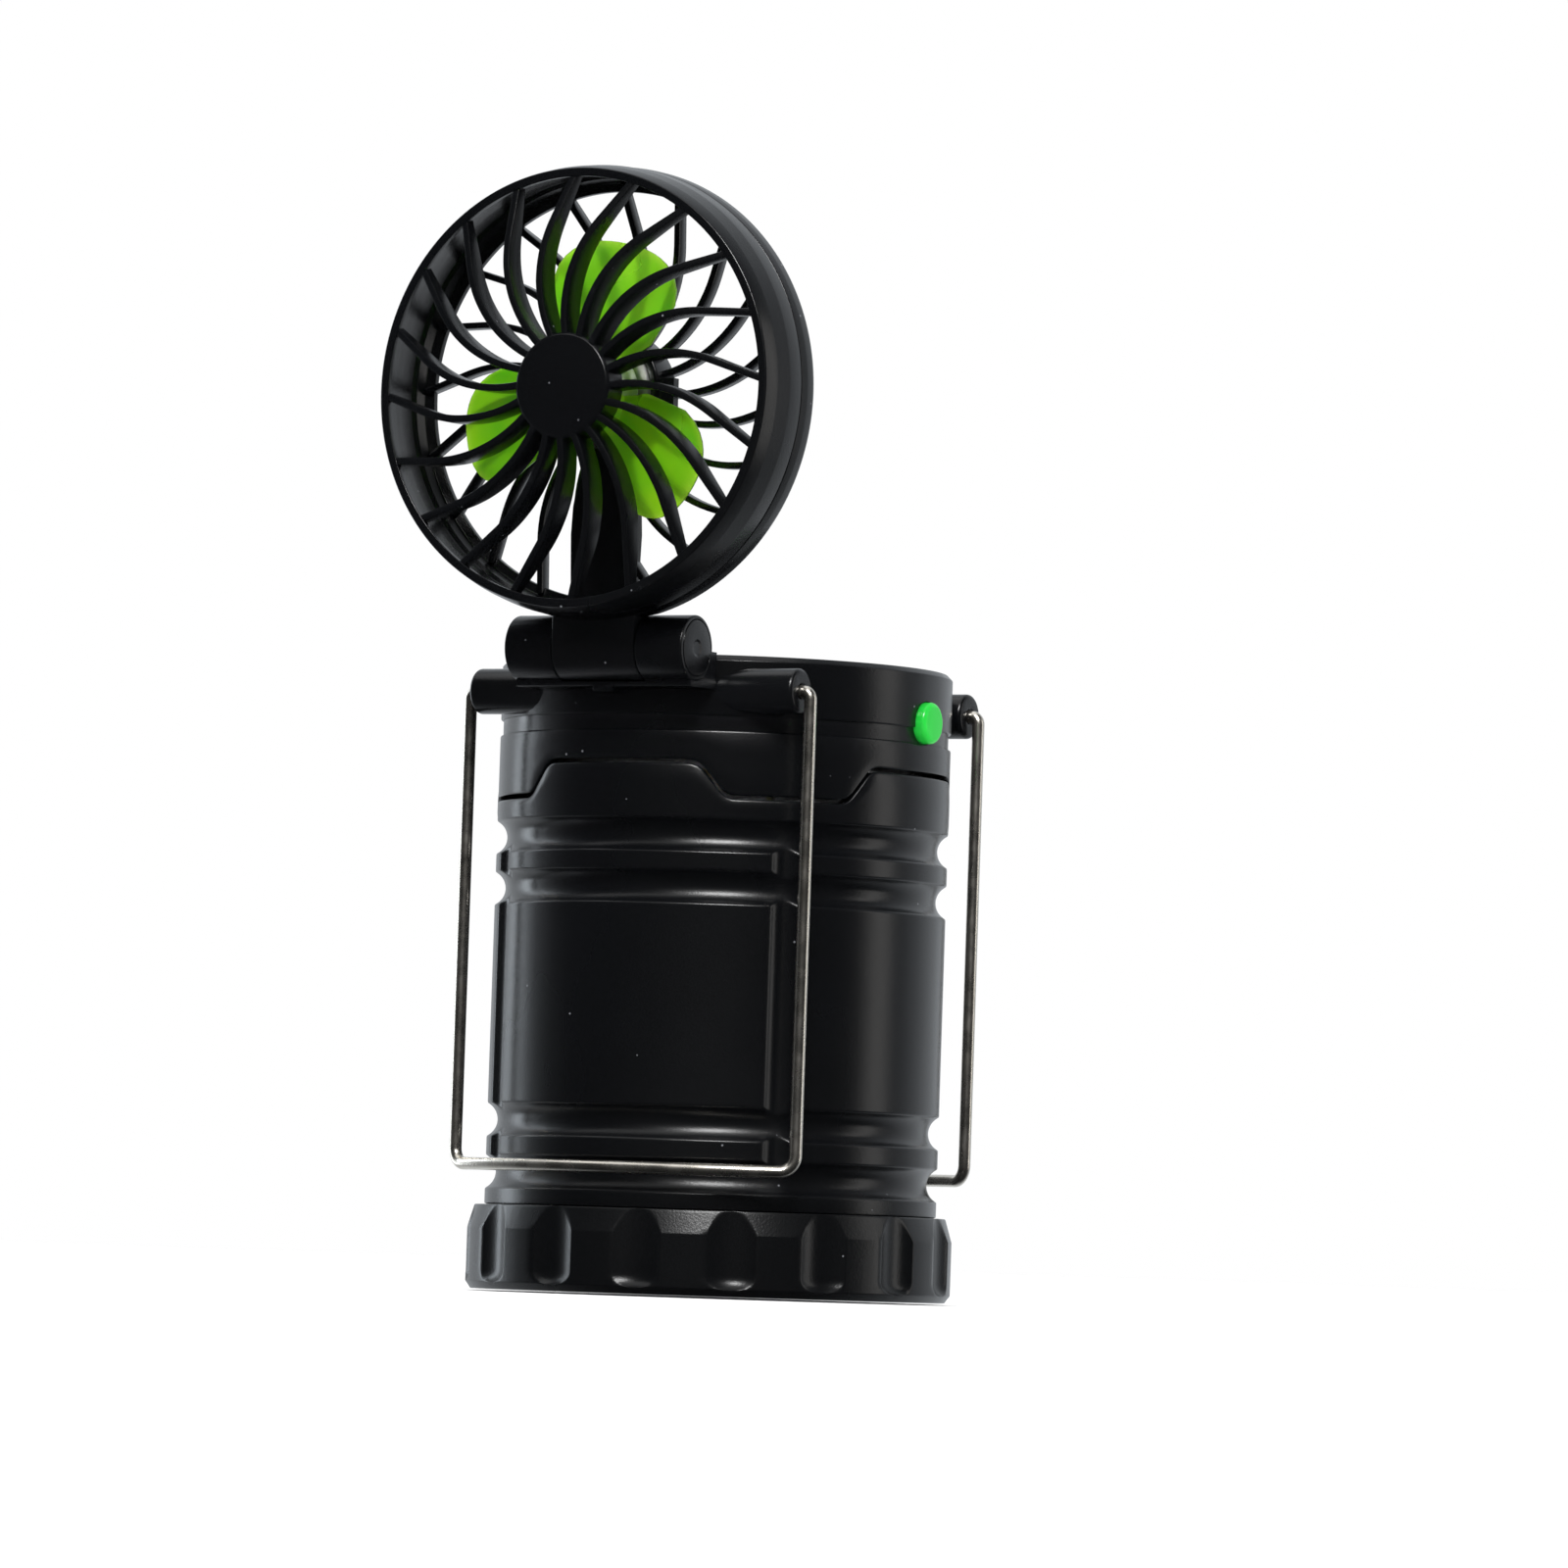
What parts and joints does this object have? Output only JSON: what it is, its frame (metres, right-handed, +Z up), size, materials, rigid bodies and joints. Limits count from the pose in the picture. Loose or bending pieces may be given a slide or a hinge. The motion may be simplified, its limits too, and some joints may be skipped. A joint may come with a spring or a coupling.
{
  "type": "camping lantern",
  "caption": "Pull-up round camping lantern with wire bail handles and a small guarded fan that folds flat onto its head.",
  "frame": {"origin": "centre of the base cap's underside, on the axis of the round body", "axes": "+Z up along the body axis, -Y towards the fan and its hinge, +X towards the push button"},
  "size_m": [0.09, 0.1119, 0.2045],
  "materials": {
    "black_abs": "fine spark-eroded texture, semi-gloss, near black",
    "black_cap": "fine spark-eroded texture, near black, knurled",
    "green_blade": "translucent green polypropylene",
    "green_button": "translucent bright green, polished",
    "nickel_wire": "nickel-plated round wire, bright",
    "clear_globe": "clear moulded plastic, polished",
    "reflector": "vacuum-metallised, bright",
    "white_abs": "white moulded plastic",
    "steel": "zinc-plated steel",
    "brass": "tin-plated brass contact",
    "cell_wrap": "printed-film cell wrap with no lettering, bare steel ends",
    "cob_yellow": "yellow phosphor over a white strip",
    "board_green": "circuit board laminate",
    "seal_rubber": "soft black rubber"
  },
  "bodies": {
    "casing": {"lower_casing": "black_abs", "battery_bay": "black_abs", "battery_cells": "cell_wrap", "cell_contacts": "brass", "retaining_ring": "black_abs", "contact_rails": "brass"},
    "base_cap": {"base_cap": "black_cap", "cap_seal": "seal_rubber", "contact_plate": "brass", "contact_springs": "steel"},
    "head": {"upper_collar": "black_abs", "head_cap": "black_abs", "light_globe": "clear_globe", "globe_slider": "black_abs", "wiper_contacts": "brass", "lower_reflector": "reflector", "lamp_column": "white_abs", "cob_strips": "cob_yellow", "upper_reflector": "reflector", "lamp_deck": "black_abs", "control_board": "board_green", "push_switch": "black_cap", "head_screws": "steel", "hinge_pin": "steel", "hinge_end_caps": "black_abs"},
    "fan_head": {"front_rim": "black_abs", "front_grille": "black_abs", "rear_rim": "black_abs", "rear_grille": "black_abs", "hinge_bushes": "black_cap", "fan_motor": "steel", "motor_cover": "black_abs", "motor_screws": "steel", "terminal_block": "black_cap", "duct_cover": "black_abs"},
    "rotor": {"impeller": "green_blade", "motor_shaft": "steel"},
    "bail_front": {"front_bail": "nickel_wire"},
    "bail_back": {"back_bail": "nickel_wire"},
    "button": {"fan_button": "green_button"}
  },
  "joints": [
    {"name": "head_lift", "type": "slide", "parent": "casing", "child": "head", "axis": [0, 0, 1], "range_m": [0, 0.03]},
    {"name": "cap_twist", "type": "hinge", "parent": "casing", "child": "base_cap", "pos_m": [0, 0, 0], "axis": [0, 0, -1], "range_deg": [0, 60]},
    {"name": "fan_fold", "type": "hinge", "parent": "head", "child": "fan_head", "pos_m": [0, -0.046, 0.117], "axis": [1, 0, 0], "range_deg": [-90, 0]},
    {"name": "rotor_spin", "type": "hinge", "parent": "fan_head", "child": "rotor", "pos_m": [0, -0.063, 0.163], "axis": [0, -1, 0], "continuous": true},
    {"name": "bail_front_swing", "type": "hinge", "parent": "head", "child": "bail_front", "pos_m": [0, -0.0337, 0.11], "axis": [-1, 0, 0], "range_deg": [0, 125]},
    {"name": "bail_back_swing", "type": "hinge", "parent": "head", "child": "bail_back", "pos_m": [0, 0.0337, 0.11], "axis": [1, 0, 0], "range_deg": [0, 196]},
    {"name": "button_press", "type": "slide", "parent": "head", "child": "button", "axis": [-1, 0, 0], "range_m": [0, 0.0012], "stiffness_N_per_m": 1000, "springref_m": -0.0005}
  ]
}
